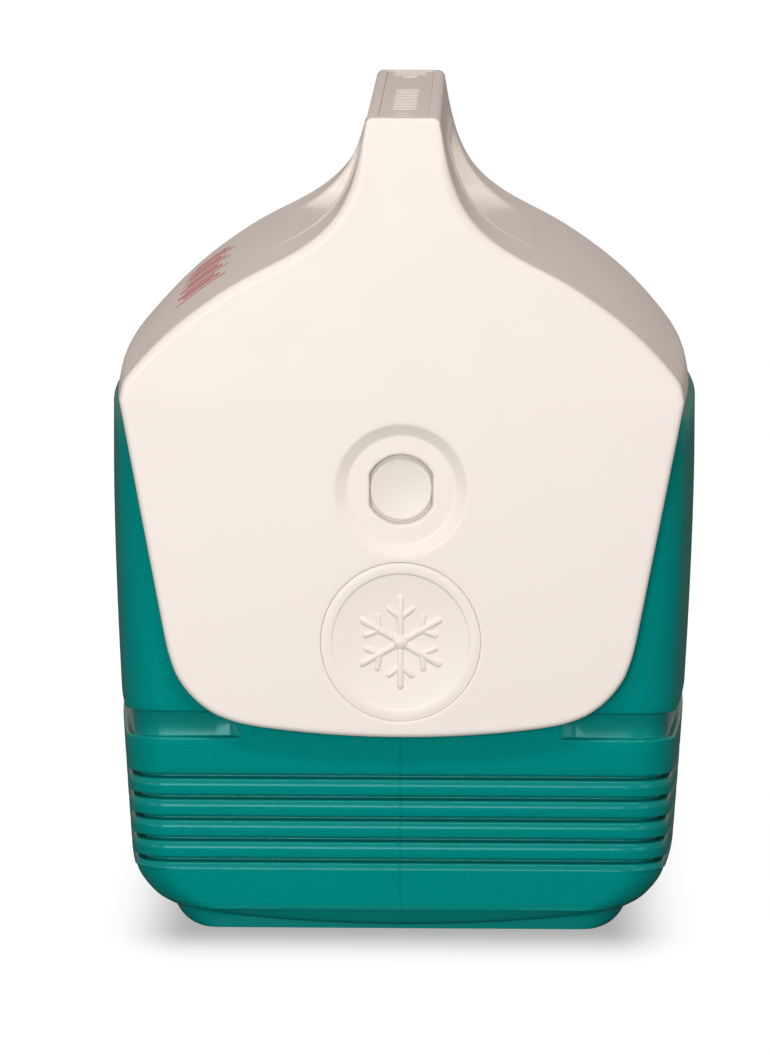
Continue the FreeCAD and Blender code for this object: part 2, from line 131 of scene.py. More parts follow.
# inset and height down the foot's rounded lower edge
foot_round = [(0.0, 9.0), (0.0, 7.6), (0.15, 6.7), (0.5, 5.9), (1.0, 5.0), (1.6, 4.2), (2.3, 3.4),
              (3.2, 2.6), (4.1, 1.9), (5.2, 1.2), (6.2, 0.75), (7.4, 0.4), (8.5, 0.15), (9.6, 0.0)]
shell_wall = 2.6
swing_radius = 127.4
seam_half = 0.3
seam_proud = 0.22
liner_half_width = 86.5
liner_half_length = 124.0
liner_corner = 24.0
liner_floor_z = 30.0
liner_draft = 6.0
flange_half_width = 94.5
flange_half_length = 131.5
flange_corner = 12.0
flange_thick = 1.5


# ---- mesh building --------------------------------------------------------
class Skin:
    """Collects corners and faces in mm, then makes one welded mesh."""

    def __init__(self):
        self.corners = []
        self.faces = []

    def add(self, points):
        first = len(self.corners)
        self.corners += [tuple(p) for p in points]
        return list(range(first, first + len(points)))

    def strip(self, row_a, row_b, closed=False):
        """Quads between two rows with the same number of points."""
        a, b = self.add(row_a), self.add(row_b)
        count = len(a)
        for i in range(count if closed else count - 1):
            j = (i + 1) % count
            self.faces.append((a[i], a[j], b[j], b[i]))

    def rows(self, rows, closed=False):
        for row_a, row_b in zip(rows, rows[1:]):
            self.strip(row_a, row_b, closed)

    def sheet(self, outline, holes, inside, place):
        """Triangles that fill a flat outline, less its holes, put in space by place(u, v)."""
        flat = []
        edges = []
        for loop in [outline] + holes:
            first = len(flat)
            flat += [Vector(p) for p in loop]
            edges += [(first + i, first + (i + 1) % len(loop)) for i in range(len(loop))]
        flat += [Vector(p) for p in inside]
        made = delaunay_2d_cdt(flat, edges, [], 1, 1e-6)
        index = self.add([place(p.x, p.y) for p in made[0]])
        for face in made[2]:
            u = sum(made[0][i].x for i in face) / len(face)
            v = sum(made[0][i].y for i in face) / len(face)
            if not any(within(u, v, loop) for loop in holes):
                self.faces.append(tuple(index[i] for i in face))

    def mesh(self, name, sharp_deg=40.0):
        data = bpy.data.meshes.new(name)
        data.from_pydata([tuple(c * MM for c in p) for p in self.corners], [], self.faces)
        bm = bmesh.new()
        bm.from_mesh(data)
        bmesh.ops.remove_doubles(bm, verts=bm.verts, dist=2e-6)
        bmesh.ops.dissolve_degenerate(bm, edges=bm.edges, dist=1e-7)
        bmesh.ops.recalc_face_normals(bm, faces=bm.faces)
        bm.to_mesh(data)
        bm.free()
        data.shade_smooth()
        data.set_sharp_from_angle(angle=math.radians(sharp_deg))
        return data


def within(u, v, loop):
    """True if the point lies inside the closed loop."""
    inside = False
    for (u1, v1), (u2, v2) in zip(loop, loop[1:] + loop[:1]):
        if (v1 > v) != (v2 > v) and u < (u2 - u1) * (v - v1) / (v2 - v1) + u1:
            inside = not inside
    return inside


def piece(name, data, body, material, replaces=()):
    """Puts a mesh into the scene as a piece that rides on a body."""
    obj = bpy.data.objects.new(name, data)
    bpy.context.scene.collection.objects.link(obj)
    data.materials.clear()
    data.materials.append(material)
    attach(obj, body)
    if replaces:
        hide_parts(*replaces)
    return obj


def stations(low, high, step):
    count = max(2, int(round((high - low) / step)) + 1)
    return [low + (high - low) * i / (count - 1) for i in range(count)]


def arc_points(first, second, third, step):
    """Points along the circle through three points, from first to third."""
    (ax, ay), (bx, by), (cx, cy) = first, second, third
    d = 2 * (ax * (by - cy) + bx * (cy - ay) + cx * (ay - by))
    sa, sb, sc = ax * ax + ay * ay, bx * bx + by * by, cx * cx + cy * cy
    ux = (sa * (by - cy) + sb * (cy - ay) + sc * (ay - by)) / d
    uy = (sa * (cx - bx) + sb * (ax - cx) + sc * (bx - ax)) / d
    radius = math.hypot(ax - ux, ay - uy)
    start = math.atan2(ay - uy, ax - ux)
    middle = math.atan2(by - uy, bx - ux)
    end = math.atan2(cy - uy, cx - ux)
    turn = (end - start) % (2 * math.pi)
    if (middle - start) % (2 * math.pi) > turn:
        turn -= 2 * math.pi
    count = max(2, int(abs(turn) * radius / step) + 1)
    angles = [start + turn * i / count for i in range(count + 1)]
    points = [(ux + radius * math.cos(a), uy + radius * math.sin(a)) for a in angles]
    points[0], points[-1] = first, third
    return points


def spline_through(knots, step):
    """Natural cubic spline through the knots, as points about step apart."""
    knots = np.array(knots)
    gaps = np.linalg.norm(np.diff(knots, axis=0), axis=1)
    along = np.concatenate([[0], np.cumsum(gaps)])
    count = len(knots)
    system = np.zeros((count, count))
    right = np.zeros((count, 2))
    system[0, 0] = system[-1, -1] = 1
    for i in range(1, count - 1):
        system[i, i - 1] = gaps[i - 1]
        system[i, i] = 2 * (gaps[i - 1] + gaps[i])
        system[i, i + 1] = gaps[i]
        right[i] = 6 * ((knots[i + 1] - knots[i]) / gaps[i] - (knots[i] - knots[i - 1]) / gaps[i - 1])
    bend = np.linalg.solve(system, right)
    points = []
    for s in stations(0.0, float(along[-1]), step):
        i = min(int(np.searchsorted(along, s, side="right")) - 1, count - 2)
        h = gaps[i]
        a, b = (along[i + 1] - s) / h, (s - along[i]) / h
        straight = a * knots[i] + b * knots[i + 1]
        p = straight + ((a ** 3 - a) * bend[i] + (b ** 3 - b) * bend[i + 1]) * h * h / 6
        points.append((float(p[0]), float(p[1])))
    return points


def softened(points, centre, reach, times):
    """Averages the points that lie near centre, which rounds off a corner there."""
    points = [np.array(p) for p in points]
    for _ in range(times):
        moved = list(points)
        for i in range(1, len(points) - 1):
            if np.hypot(*(points[i] - centre)) < reach:
                moved[i] = (points[i - 1] + 2 * points[i] + points[i + 1]) / 4
        points = moved
    return [(float(p[0]), float(p[1])) for p in points]


# ---- lid shell ------------------------------------------------------------
def roof_profile():
    """Right half of the roof from the lid's lower edge up to the handle's side."""
    rise = [(tip_x + (roof_knots[0][0] - tip_x) * k / 4, lid_edge_z + (roof_knots[0][1] - lid_edge_z) * k / 4)
            for k in range(4)]
    curve = spline_through(roof_knots, 1.6)
    return softened(rise + curve, np.array(roof_knots[0]), 4.0, 3)


def inward(points, distance):
    """Each point of an open line moved to its left by distance."""
    moved = []
    for i, (u, v) in enumerate(points):
        before, after = points[max(i - 1, 0)], points[min(i + 1, len(points) - 1)]
        run, rise = after[0] - before[0], after[1] - before[1]
        size = math.hypot(run, rise)
        amount = distance(u, v) if callable(distance) else distance
        moved.append((u - amount * rise / size, v + amount * run / size))
    return moved


def inward_loop(points, distance):
    """The same for a closed loop."""
    wrapped = points[-2:] + points + points[:2]
    return inward(wrapped, distance)[2:-2]


def edge_round(x, z):
    """Radius of the edge round the end face: small on the flap and the handle's top."""
    if z < lid_edge_z:
        return 1.6
    if z < 205:
        return 1.6 + 1.2 * (z - lid_edge_z) / (205 - lid_edge_z)
    if z < 258:
        return 2.8
    return max(1.0, 2.8 - 1.8 * (z - 258) / 14)


def end_face(z):
    """How far the end face is from the middle at height z."""
    return half_length - lean * max(0.0, z - lid_edge_z)


def widened(x, y):
    """The roof is a little wider at mid-length."""
    bulge = lid_bulge * max(0.0, 1 - (y / half_length) ** 2)
    share = max(0.0, abs(x) - handle_half) / (tip_x - handle_half)
    return x + math.copysign(bulge * share, x)


def in_lid(x, y, z):
    return (widened(x, y), y, z)


profile = roof_profile()
corner_steps = 5
top_corner = [(handle_half - handle_edge * (1 - math.cos(math.radians(90 * k / corner_steps))),
               height - handle_edge + handle_edge * math.sin(math.radians(90 * k / corner_steps)))
              for k in range(1, corner_steps + 1)]
crown_x = top_corner[-1][0]
length_shares = stations(-1.0, 1.0, 1.0 / 44)


def half_flap():
    """Right half of the flap's outline from the tip down to the middle of the bottom."""
    steps = stations(0.0, 1.0, 1.0 / 34)
    side = [(tip_x + (flap_low_side[0] - tip_x) * s, lid_edge_z + (flap_low_side[1] - lid_edge_z) * s)
            for s in steps]
    corner = arc_points(flap_low_side, flap_corner, flap_heel, 2.0)
    across = arc_points(flap_heel, (0.0, flap_bottom_z), (-flap_heel[0], flap_heel[1]), 2.5)
    bottom = [p for p in across if p[0] > 0.01] + [(0.0, flap_bottom_z)]
    line = side + corner[1:] + bottom[1:]
    line = softened(line, np.array(flap_low_side), 9.0, 8)
    return softened(line, np.array(flap_heel), 9.0, 8)


def mirrored(points):
    return [(-x, z) for x, z in reversed(points)]


flap_line = half_flap()
flap_line = flap_line + mirrored(flap_line)[1:]
roof_half = profile + top_corner
crown = [(x, height) for x in stations(-crown_x, crown_x, 2.0)]
# clockwise seen from the button end: down the right side, round the flap, up the left side
silhouette = flap_line + [(-x, z) for x, z in roof_half[1:]] + crown[1:-1] + list(reversed(roof_half))[:-1]


def circle(radius, z, count=96):
    angles = [2 * math.pi * k / count for k in range(count)]
    return [(radius * math.cos(a), z + radius * math.sin(a)) for a in angles]


def two_flats(radius, flat, z, count=96):
    loop = []
    for k in range(count):
        a = 2 * math.pi * k / count
        reach = min(radius, flat / max(abs(math.cos(a)), 1e-6))
        loop.append((reach * math.cos(a), z + reach * math.sin(a)))
    return loop


def grip_loop(grow):
    """The finger opening in the plane of the lid's side, as (y, z) points."""
    half, low, high = grip_half + grow, grip_low - grow, grip_high + grow
    radius = grip_corner + grow
    loop = []
    for cy, cz, start in ((half - radius, high - radius, 0), (-half + radius, high - radius, 90),
                          (-half + radius, low + radius, 180), (half - radius, low + radius, 270)):
        for k in range(9):
            a = math.radians(start + 90 * k / 8)
            loop.append((cy + radius * math.cos(a), cz + radius * math.sin(a)))
    finer = []
    for (y1, z1), (y2, z2) in zip(loop, loop[1:] + loop[:1]):
        pieces = max(1, int(math.hypot(y2 - y1, z2 - z1) / 3.0))
        finer += [(y1 + (y2 - y1) * k / pieces, z1 + (z2 - z1) * k / pieces) for k in range(pieces)]
    return finer


def roof_sheet(skin, side, line, reach, hole, sunk):
    """One slope of the roof with the finger opening in it.

    line is the profile as (x, z); reach(z) is half the length at that height; sunk
    is a list of (grow, drop) rows that round the opening's edge.
    """
    line_z = [z for x, z in line]
    line_x = [x for x, z in line]

    def place(y, z, drop=0.0):
        x = float(np.interp(z, line_z, line_x))
        wide = widened(x, y)
        return (side * (wide - drop), y, z)

    outline = [(-reach(line_z[0]) * -s, line_z[0]) for s in length_shares]
    outline += [(reach(z), z) for z in line_z[1:]]
    outline += [(reach(line_z[-1]) * s, line_z[-1]) for s in reversed(length_shares)][1:]
    outline += [(-reach(z), z) for z in reversed(line_z[1:-1])]
    outer_ring = grip_loop(hole + sunk[-1][0])
    keep_out = grip_loop(hole + sunk[-1][0] + 1.5)
    inside = []
    for z in line_z[1:-1]:
        for s in length_shares[1:-1]:
            y = s * reach(z)
            if not within(y, z, keep_out):
                inside.append((y, z))
    skin.sheet(outline, [outer_ring], inside, place)
    rings = [[place(y, z, drop) for y, z in grip_loop(hole + grow)] for grow, drop in sunk]
    skin.rows(rings, closed=True)
    return rings[0]


def outer_reach(z):
    return end_face(z) - edge_round(0, z)


def lid_outside(skin):
    right = roof_sheet(skin, 1, profile, outer_reach, 0.0, grip_bead)
    left = roof_sheet(skin, -1, profile, outer_reach, 0.0, grip_bead)
    skin.strip(right, left, closed=True)
    corner_line = [profile[-1]] + top_corner
    for side in (1, -1):
        skin.rows([[in_lid(side * x, s * outer_reach(z), z) for s in length_shares] for x, z in corner_line])
    top_reach = outer_reach(height)
    ends = [x for x, z in crown]
    outline = [(crown_x, s * top_reach) for s in length_shares]
    outline += [(x, top_reach) for x in reversed(ends[1:-1])]
    outline += [(-crown_x, -s * top_reach) for s in length_shares]
    outline += [(x, -top_reach) for x in ends[1:-1]]
    recess = plate_outline(0.0)
    skin.sheet(outline, [recess], [], lambda x, y: (x, y, height))
    recess_z = height - plate_recess
    skin.strip([(x, y, height) for x, y in recess], [(x, y, recess_z) for x, y in recess], True)
    skin.sheet(recess, [], [], lambda x, y: (x, y, recess_z))
    for end in (-1, 1):
        lid_end(skin, end)


def rounded_rectangle(half_w, half_l, radius, steps):
    """Closed outline of a rectangle with round corners, each made of so many steps."""
    loop = []
    right, far = half_w - radius, half_l - radius
    for cx, cy, start in ((right, far, 0), (-right, far, 90), (-right, -far, 180), (right, -far, 270)):
        for k in range(steps + 1):
            a = math.radians(start + 90 * k / steps)
            loop.append((cx + radius * math.cos(a), cy + radius * math.sin(a)))
    return loop


def plate_outline(shrink):
    return rounded_rectangle(plate_half_width - shrink, plate_half_length - shrink, plate_corner, 4)


def face_points(z_values, half_width):
    return [(x, z) for z in z_values for x in stations(-half_width, half_width, 9.0)]


def lid_end(skin, end):
    """One end face with its round edge, dish and medallion seat."""
    rows = []
    for a in (90, 72, 54, 36, 18, 0):
        inset = 1 - math.sin(math.radians(a))
        back = 1 - math.cos(math.radians(a))
        line = inward_loop(silhouette, lambda x, z: -edge_round(x, z) * inset)
        rows.append([in_lid(x, end * (end_face(z) - edge_round(sx, sz) * back), z)
                     for (x, z), (sx, sz) in zip(line, silhouette)])
    skin.rows(rows, closed=True)
    face_line = inward_loop(silhouette, lambda x, z: -edge_round(x, z))
    holes = [circle(seat_radius + 0.3, pivot_z)]
    if end < 0:
        holes.append(circle(dish_rim + 0.5, button_z))
    inside = face_points((lid_edge_z - 1.5, lid_edge_z, lid_edge_z + 1.5), 88.0)
    inside += inward_loop(silhouette, lambda x, z: -edge_round(x, z) - 0.9)
    inside += circle(seat_radius + 1.3, pivot_z)
    if end < 0:
        inside += circle(dish_rim + 1.5, button_z)
    skin.sheet(face_line, holes, inside, lambda x, z: in_lid(x, end * end_face(z), z))
    flap_thick = half_length - flap_inner
    seat_rows = [(seat_radius + 0.3, 0.0), (seat_radius + 0.1, 0.04), (seat_radius, 0.2),
                 (seat_radius, seat_depth), (spigot_radius, seat_depth), (spigot_radius, flap_thick)]
    skin.rows([[(x, end * (half_length - depth), z) for x, z in circle(radius, pivot_z)]
               for radius, depth in seat_rows], closed=True)
    if end < 0:
        dish_rows = [(dish_rim + 0.5, 0.0), (dish_rim + 0.1, 0.06), (dish_rim - 0.4, 0.28),
                     (dish_floor + 0.5, dish_depth - 0.16), (dish_floor, dish_depth),
                     (dish_floor - 0.6, dish_depth)]
        rings = [[(x, -(half_length - depth), z) for x, z in circle(radius, button_z)]
                 for radius, depth in dish_rows]
        for grow, depth in ((1.0, dish_depth), (0.35, dish_depth), (0.1, dish_depth + 0.1),
                            (0.0, dish_depth + 0.35), (0.0, flap_thick)):
            rings.append([(x, -(half_length - depth), z)
                          for x, z in two_flats(hole_radius + grow, hole_flat + grow, button_z)])
        skin.rows(rings, closed=True)


def lid_inside(skin):
    """Inner faces of the flaps, the roof's inner surface and the lower rim."""
    inner_line = [(x, z) for x, z in inward(profile, lid_wall)]
    inner_line[0] = (tip_x - lid_wall, lid_edge_z)
    inner_line = [p for i, p in enumerate(inner_line) if i == 0 or p[1] > lid_edge_z + 0.3]
    top_in = inner_line[-1]
    inner_reach = lambda z: flap_inner
    rim_soft = [(0.0, 0.0), (0.5, 0.0)]
    right = roof_sheet(skin, 1, inner_line, inner_reach, grip_wall, rim_soft)
    left = roof_sheet(skin, -1, inner_line, inner_reach, grip_wall, rim_soft)
    skin.strip(right, left, closed=True)
    across = stations(-top_in[0], top_in[0], 4.0)
    skin.rows([[(x, s * flap_inner, top_in[1]) for s in length_shares] for x in across])
    small = 0.6
    for end in (-1, 1):
        face = end * half_length
        side_rows = []
        for inset, back in ((0.0, edge_round(0, 0)), (0.0, half_length - flap_inner - small),
                            (small * 0.3, half_length - flap_inner - small * 0.3),
                            (small, half_length - flap_inner)):
            line = inward(flap_line, -inset)
            side_rows.append([in_lid(x, face - end * back, z) for x, z in line])
        skin.rows(side_rows)
        low_line = inward(flap_line, -small)
        outline = low_line + [(-x, z) for x, z in inner_line] + [(x, top_in[1]) for x in across[1:-1]]
        outline += list(reversed(inner_line))
        holes = [circle(spigot_radius, pivot_z)]
        if end < 0:
            holes.append(two_flats(hole_radius, hole_flat, button_z))
        skin.sheet(outline, holes, [], lambda x, z: in_lid(x, end * flap_inner, z))
    for side in (1, -1):
        rim = [(tip_x, s * outer_reach(lid_edge_z)) for s in length_shares]
        tail = [(tip_x, half_length - (half_length - flap_inner - small))]
        tail += [(inward(flap_line, -small * 0.3)[0][0], flap_inner + small * 0.3)]
        tail += [(inward(flap_line, -small)[0][0], flap_inner)]
        rim += tail
        rim += [(tip_x - lid_wall, -s * flap_inner) for s in length_shares]
        rim += [(x, -y) for x, y in reversed(tail)]
        skin.sheet(rim, [], [], lambda x, y: (side * widened(x, y), y, lid_edge_z))


def lid_shell_mesh():
    skin = Skin()
    lid_outside(skin)
    lid_inside(skin)
    return skin.mesh("lid_shell_look", 38.0)


# ---- tub ------------------------------------------------------------------
def taper(z):
    share = max(0.0, (taper_start_z - z) / (taper_start_z - taper_end_z))
    return taper_width * share ** taper_power


def plan_loop(half_w, half_l, corner):
    """Rounded rectangle with bowed long sides; the same number of points each time."""
    back = side_radius - half_w
    corner_y = half_l - corner
    corner_x = math.sqrt((side_radius - corner) ** 2 - corner_y ** 2) - back
    turn = math.atan2(corner_y, corner_x + back)
    quarter = [(corner_x * s, half_l) for s in end_shares]
    for k in range(1, 9):
        a = math.pi / 2 + (turn - math.pi / 2) * k / 8
        quarter.append((corner_x + corner * math.cos(a), corner_y + corner * math.sin(a)))
    for k in range(1, 41):
        a = turn * (1 - k / 40)
        quarter.append((side_radius * math.cos(a) - back, side_radius * math.sin(a)))
    quarter = [(x, y + seam_proud) if x < seam_half and y > half_l - 0.01 else (x, y) for x, y in quarter]
    right = quarter + [(x, -y) for x, y in reversed(quarter[:-1])]
    left = [(-x, -y) for x, y in right]
    return right + left[1:-1]


seam_shares = [0.0025, 0.0045, 0.009]
end_shares = sorted(set([round(k / 24, 4) for k in range(25)] + seam_shares +
                        [round(0.60 + 0.005 * k, 4) for k in range(16)]))


def level_loop(z, inset, corner=tub_corner):
    half_w = tub_half_width - taper(z) - inset
    half_l = tub_half_length - taper_length_share * taper(z) - inset
    return plan_loop(half_w, half_l, max(corner - inset, 4.0))


def rounded_line(points, radius, steps=3):
    """Open line of (z, inset) points with its corners rounded off."""
    line = [points[0]]
    for before, here, after in zip(points, points[1:], points[2:]):
        a, b, c = np.array(before), np.array(here), np.array(after)
        la, lc = np.linalg.norm(a - b), np.linalg.norm(c - b)
        cut = min(radius, la * 0.45, lc * 0.45)
        start, end = b + (a - b) * cut / la, b + (c - b) * cut / lc
        for k in range(steps + 1):
            t = k / steps
            p = (1 - t) ** 2 * start + 2 * t * (1 - t) * b + t * t * end
            line.append((float(p[0]), float(p[1])))
    line.append(points[-1])
    return line


def wall_line():
    """The wall from just above the belly to the shoulder, as (z, inset) points."""
    ribs = []
    for i in reversed(range(rib_count)):
        top = rib_first_z - rib_pitch * i
        ribs += [(top - 3.7, 0.0), (top - 2.1, 0.55), (top - 1.6, 1.3), (top - 1.5, rib_depth),
                 (top - 0.1, rib_depth), (top, 0.0)]
    line = rounded_line([(taper_end_z - 3.0, 0.0)] + ribs + [(60.0, 0.0)], 0.45)[1:-1]
    belt = [(60.0, 0.0), (belt_low_z - 0.6, 0.0), (belt_low_z, 0.6), (belt_low_z + 0.1, belt_depth),
            (belt_high_z - 0.3, belt_depth), (belt_high_z, 0.0), (82.0, 0.0)]
    line += [(57.0, 0.0), (60.0, 0.0), (63.0, 0.0)] + rounded_line(belt, 0.45)[1:-1]
    return line + [(z, 0.0) for z in (79.0, 86.0, 95.0, 107.0, 120.0, 132.0, 144.0, 155.0, 166.0, shoulder_z)]


def bridge_share(x, y, z):
    """0 where the belt groove is filled flush across the middle of each end, 1 in the open groove."""
    if abs(y) < tub_half_length - 12.0:
        return 1.0
    middle = (belt_low_z + belt_high_z) / 2
    radius = (belt_high_z - belt_low_z) / 2
    centre = belt_bridge_half + radius
    across = abs(x)
    if across > centre:
        return 1.0
    depth = radius - math.hypot(across - centre, (z - middle) * 0.9)
    t = max(0.0, min(1.0, 0.5 + depth / 0.8))
    return t * t * (3 - 2 * t)


def wall_loop(z, inset):
    plain = level_loop(z, 0.0)
    if not belt_low_z - 1.2 < z < belt_high_z + 0.6:
        cut = level_loop(z, inset)
        return [(x, y, z) for x, y in cut]
    cut = level_loop(z, inset)
    loop = []
    for (x1, y1), (x2, y2) in zip(plain, cut):
        s = bridge_share(x1, y1, z)
        loop.append((x1 + (x2 - x1) * s, y1 + (y2 - y1) * s, z))
    return loop


def belly_loop(half_w, z):
    half_l = tub_half_length - taper_length_share * taper(z)
    return [(x, y, z) for x, y in plan_loop(half_w, half_l, tub_corner)]


def pan_height(x):
    """The underside bows down towards the middle."""
    rise = belly_z - pan_low_z
    return pan_low_z + rise * min(1.0, (abs(x) / foot_half_width) ** 2)


def drilled(data, name):
    """The tub with the round holes for the button's cup and both pivot bushings."""
    obj = bpy.data.objects.new(name, data)
    bpy.context.scene.collection.objects.link(obj)
    cutters = []
    for radius, z, end in ((housing_radius, button_z, -1), (bushing_radius, pivot_z, -1),
                           (bushing_radius, pivot_z, 1)):
        skin = Skin()
        rings = [[(x, end * out, zz) for x, zz in circle(radius, z)]
                 for out in (tub_half_length - drill_depth, tub_half_length + 10.0)]
        skin.rows(rings, closed=True)
        for ring in rings:
            out = ring[0][1]
            skin.sheet([(x, zz) for x, _, zz in ring], [], [], lambda x, zz: (x, out, zz))
        cutter = bpy.data.objects.new("cutter", skin.mesh("cutter"))
        bpy.context.scene.collection.objects.link(cutter)
        cut = obj.modifiers.new("hole", "BOOLEAN")
        cut.operation = "DIFFERENCE"
        cut.solver = "EXACT"
        cut.object = cutter
        cutters.append(cutter)
    made = bpy.data.meshes.new_from_object(obj.evaluated_get(bpy.context.evaluated_depsgraph_get()))
    made.name = name
    for spare in [obj] + cutters:
        bpy.data.objects.remove(spare)
    made.shade_smooth()
    made.set_sharp_from_angle(angle=math.radians(50.0))
    return made


def outer_shell_mesh():
    skin = Skin()
    loops = [belly_loop(half_w, z) for half_w, z in spline_through(belly_knots, 1.2)]
    wall = wall_line()
    loops += [wall_loop(z, inset) for z, inset in wall]
    for z, turn_in in ((177.5, 0.0), (179.0, 0.0), (180.5, 0.0), (181.6, 0.25), (182.4, 0.8), (182.85, 1.5),
                       (rim_z, 2.4)):
        swing = tub_half_width - math.sqrt(swing_radius ** 2 - (z - pivot_z) ** 2)
        loops.append([(x, y, z) for x, y in level_loop(z, swing + turn_in)])
    inset = shoulder_inset + shell_wall
    loops.append([(x, y, rim_z) for x, y in level_loop(rim_z, inset)])
    for z, more in ((shoulder_z, 0.0), (taper_start_z, 0.0), (80.0, 0.0), (62.0, 2.0), (24.0, 4.0),
                    (12.0, 14.0)):
        loops.append([(x, y, z) for x, y in level_loop(z, inset + more)])
    skin.rows(loops, closed=True)
    floor_loop = [(x, y) for x, y, z in loops[-1]]
    skin.sheet(floor_loop, [], [], lambda x, y: (x, y, 12.0))
    low = loops[0]
    rim = []
    for inset, share in ((0.5, 0.1), (1.2, 0.35), (2.2, 0.75), (3.4, 1.0)):
        drawn_in = [(x * (1 - inset / 100), y * (1 - inset / 137), z) for x, y, z in low]
        rim.append([(x, y, z + (pan_height(x) - z) * share) for x, y, z in drawn_in])
    skin.rows([low] + rim, closed=True)
    last = [(x, y) for x, y, z in rim[-1]]
    inside = [(x, y) for x in stations(-84, 84, 6.0) for y in stations(-128, 128, 8.0)]
    skin.sheet(last, [], [p for p in inside if within(p[0], p[1], last)], lambda x, y: (x, y, pan_height(x)))
    data = drilled(skin.mesh("outer_shell_walls", 50.0), "outer_shell_look")
    join_mesh(data, foot_mesh())
    grain = data.attributes.new("pebble", "FLOAT", "POINT")
    grain.data.foreach_set("value", [pebble_share(*(v.co / MM)) for v in data.vertices])
    return data


def pebble_share(x, y, z):
    """1 on the textured bands and 0 in the belt, the grooves and round the shoulder."""
    if z > 179.0 or z < 9.0:
        return 0.0
    if belt_low_z - 0.7 < z < belt_high_z + 0.4 and bridge_share(x, y, z) > 0.5:
        return 0.0
    for i in range(rib_count):
        top = rib_first_z - rib_pitch * i
        if top - 3.9 < z < top + 0.3:
            return 0.0
    return 1.0


def join_mesh(data, other):
    """Adds the other mesh's faces to data."""
    bm = bmesh.new()
    bm.from_mesh(data)
    bm.from_mesh(other)
    bm.to_mesh(data)
    bm.free()
    bpy.data.meshes.remove(other)


def foot_mesh():
    """Low plinth, rounded along its lower edges."""
    skin = Skin()
    rows = []
    for inset, z in foot_round:
        half_l = foot_half_length - min(inset, foot_end_inset)
        loop = rounded_rectangle(foot_half_width - inset, half_l, max(foot_corner - inset, 5.0), 8)
        rows.append([(x, y, z) for x, y in loop])
    skin.rows(rows, closed=True)
    skin.sheet([(x, y) for x, y, z in rows[-1]], [], [], lambda x, y: (x, y, 0.0))
    skin.sheet([(x, y) for x, y, z in rows[0]], [], [], lambda x, y: (x, y, foot_round[0][1]))
    return skin.mesh("foot", 50.0)


# ---- liner ----------------------------------------------------------------
def liner_mesh():
    skin = Skin()
    top = rim_z + flange_thick
    deep_w, deep_l = liner_half_width - liner_draft, liner_half_length - liner_draft
    sizes = [
        (deep_w - 5 + 2, deep_l - 5 + 2, liner_corner - 4 + 2, liner_floor_z - 2),
        (deep_w + 2, deep_l + 2, liner_corner + 2, liner_floor_z + 6),
        (liner_half_width + 2, liner_half_length + 2, liner_corner + 2, rim_z),
        (flange_half_width, flange_half_length, flange_corner, rim_z),
        (flange_half_width, flange_half_length, flange_corner, top - 0.5),
        (flange_half_width - 0.15, flange_half_length - 0.15, flange_corner, top - 0.15),
        (flange_half_width - 0.5, flange_half_length - 0.5, flange_corner, top),
        (liner_half_width + 1.5, liner_half_length + 1.5, liner_corner, top),
        (liner_half_width + 0.5, liner_half_length + 0.5, liner_corner, top - 0.35),
        (liner_half_width + 0.1, liner_half_length + 0.1, liner_corner, top - 1.2),
        (liner_half_width - 0.1, liner_half_length - 0.1, liner_corner, top - 3.0),
    ]
    for share in (0.25, 0.5, 0.75, 0.96):
        sizes.append((liner_half_width - liner_draft * share, liner_half_length - liner_draft * share,
                      liner_corner, top - 3 + (liner_floor_z + 9 - top + 3) * share))
    for a in (15, 35, 55, 75, 90):
        reach = 6.0 * (1 - math.cos(math.radians(a)))
        drop = 9.0 * math.sin(math.radians(a))
        sizes.append((deep_w + 0.2 - reach, deep_l + 0.2 - reach, liner_corner - reach * 0.6,
                      liner_floor_z + 9 - drop))
    loops = [[(x, y, z) for x, y in plan_loop(w, l, c)] for w, l, c, z in sizes]
    skin.rows(loops, closed=True)
    for loop in (loops[0], loops[-1]):
        level_z = loop[0][2]
        skin.sheet([(x, y) for x, y, z in loop], [], [], lambda x, y: (x, y, level_z))
    return skin.mesh("tub_liner_look", 40.0)


# ---- medallion, emblem and button -----------------------------------------
def turned(profile, z, end, shape=None):
    """Closed solid turned about an axis along Y; profile is (radius, distance out) rows."""
    skin = Skin()
    shape = shape or (lambda radius: circle(radius, z))
    rings = [[(x, end * out, zz) for x, zz in shape(radius)] for radius, out in profile if radius > 0]
    skin.rows(rings, closed=True)
    for ring in (rings[0], rings[-1]):
        out = ring[0][1]
        skin.sheet([(x, zz) for x, y, zz in ring], [], [], lambda x, zz: (x, out, zz))
    return skin


def medallion_mesh(name, end):
    face = half_length - 0.2
    inner = face - 0.35
    spigot_end = tub_half_length - 13.0 + 1.5
    profile = [(22.9, inner), (23.25, inner + 0.05), (23.45, inner + 0.16), (23.6, inner + 0.3),
               (23.9, face), (27.0, face), (27.2, face - 0.04), (27.32, face - 0.2),
               (27.32, half_length - seat_depth), (spigot_radius, half_length - seat_depth),
               (spigot_radius, spigot_end + 1.9),
               (spigot_radius - 1.2, spigot_end + 1.9), (spigot_radius - 1.2, spigot_end + 0.7),
               (spigot_radius, spigot_end + 0.7), (spigot_radius, spigot_end + 0.3),
               (spigot_radius - 0.4, spigot_end), (1.0, spigot_end)]
    return turned(profile, pivot_z, end).mesh(name, 50.0)


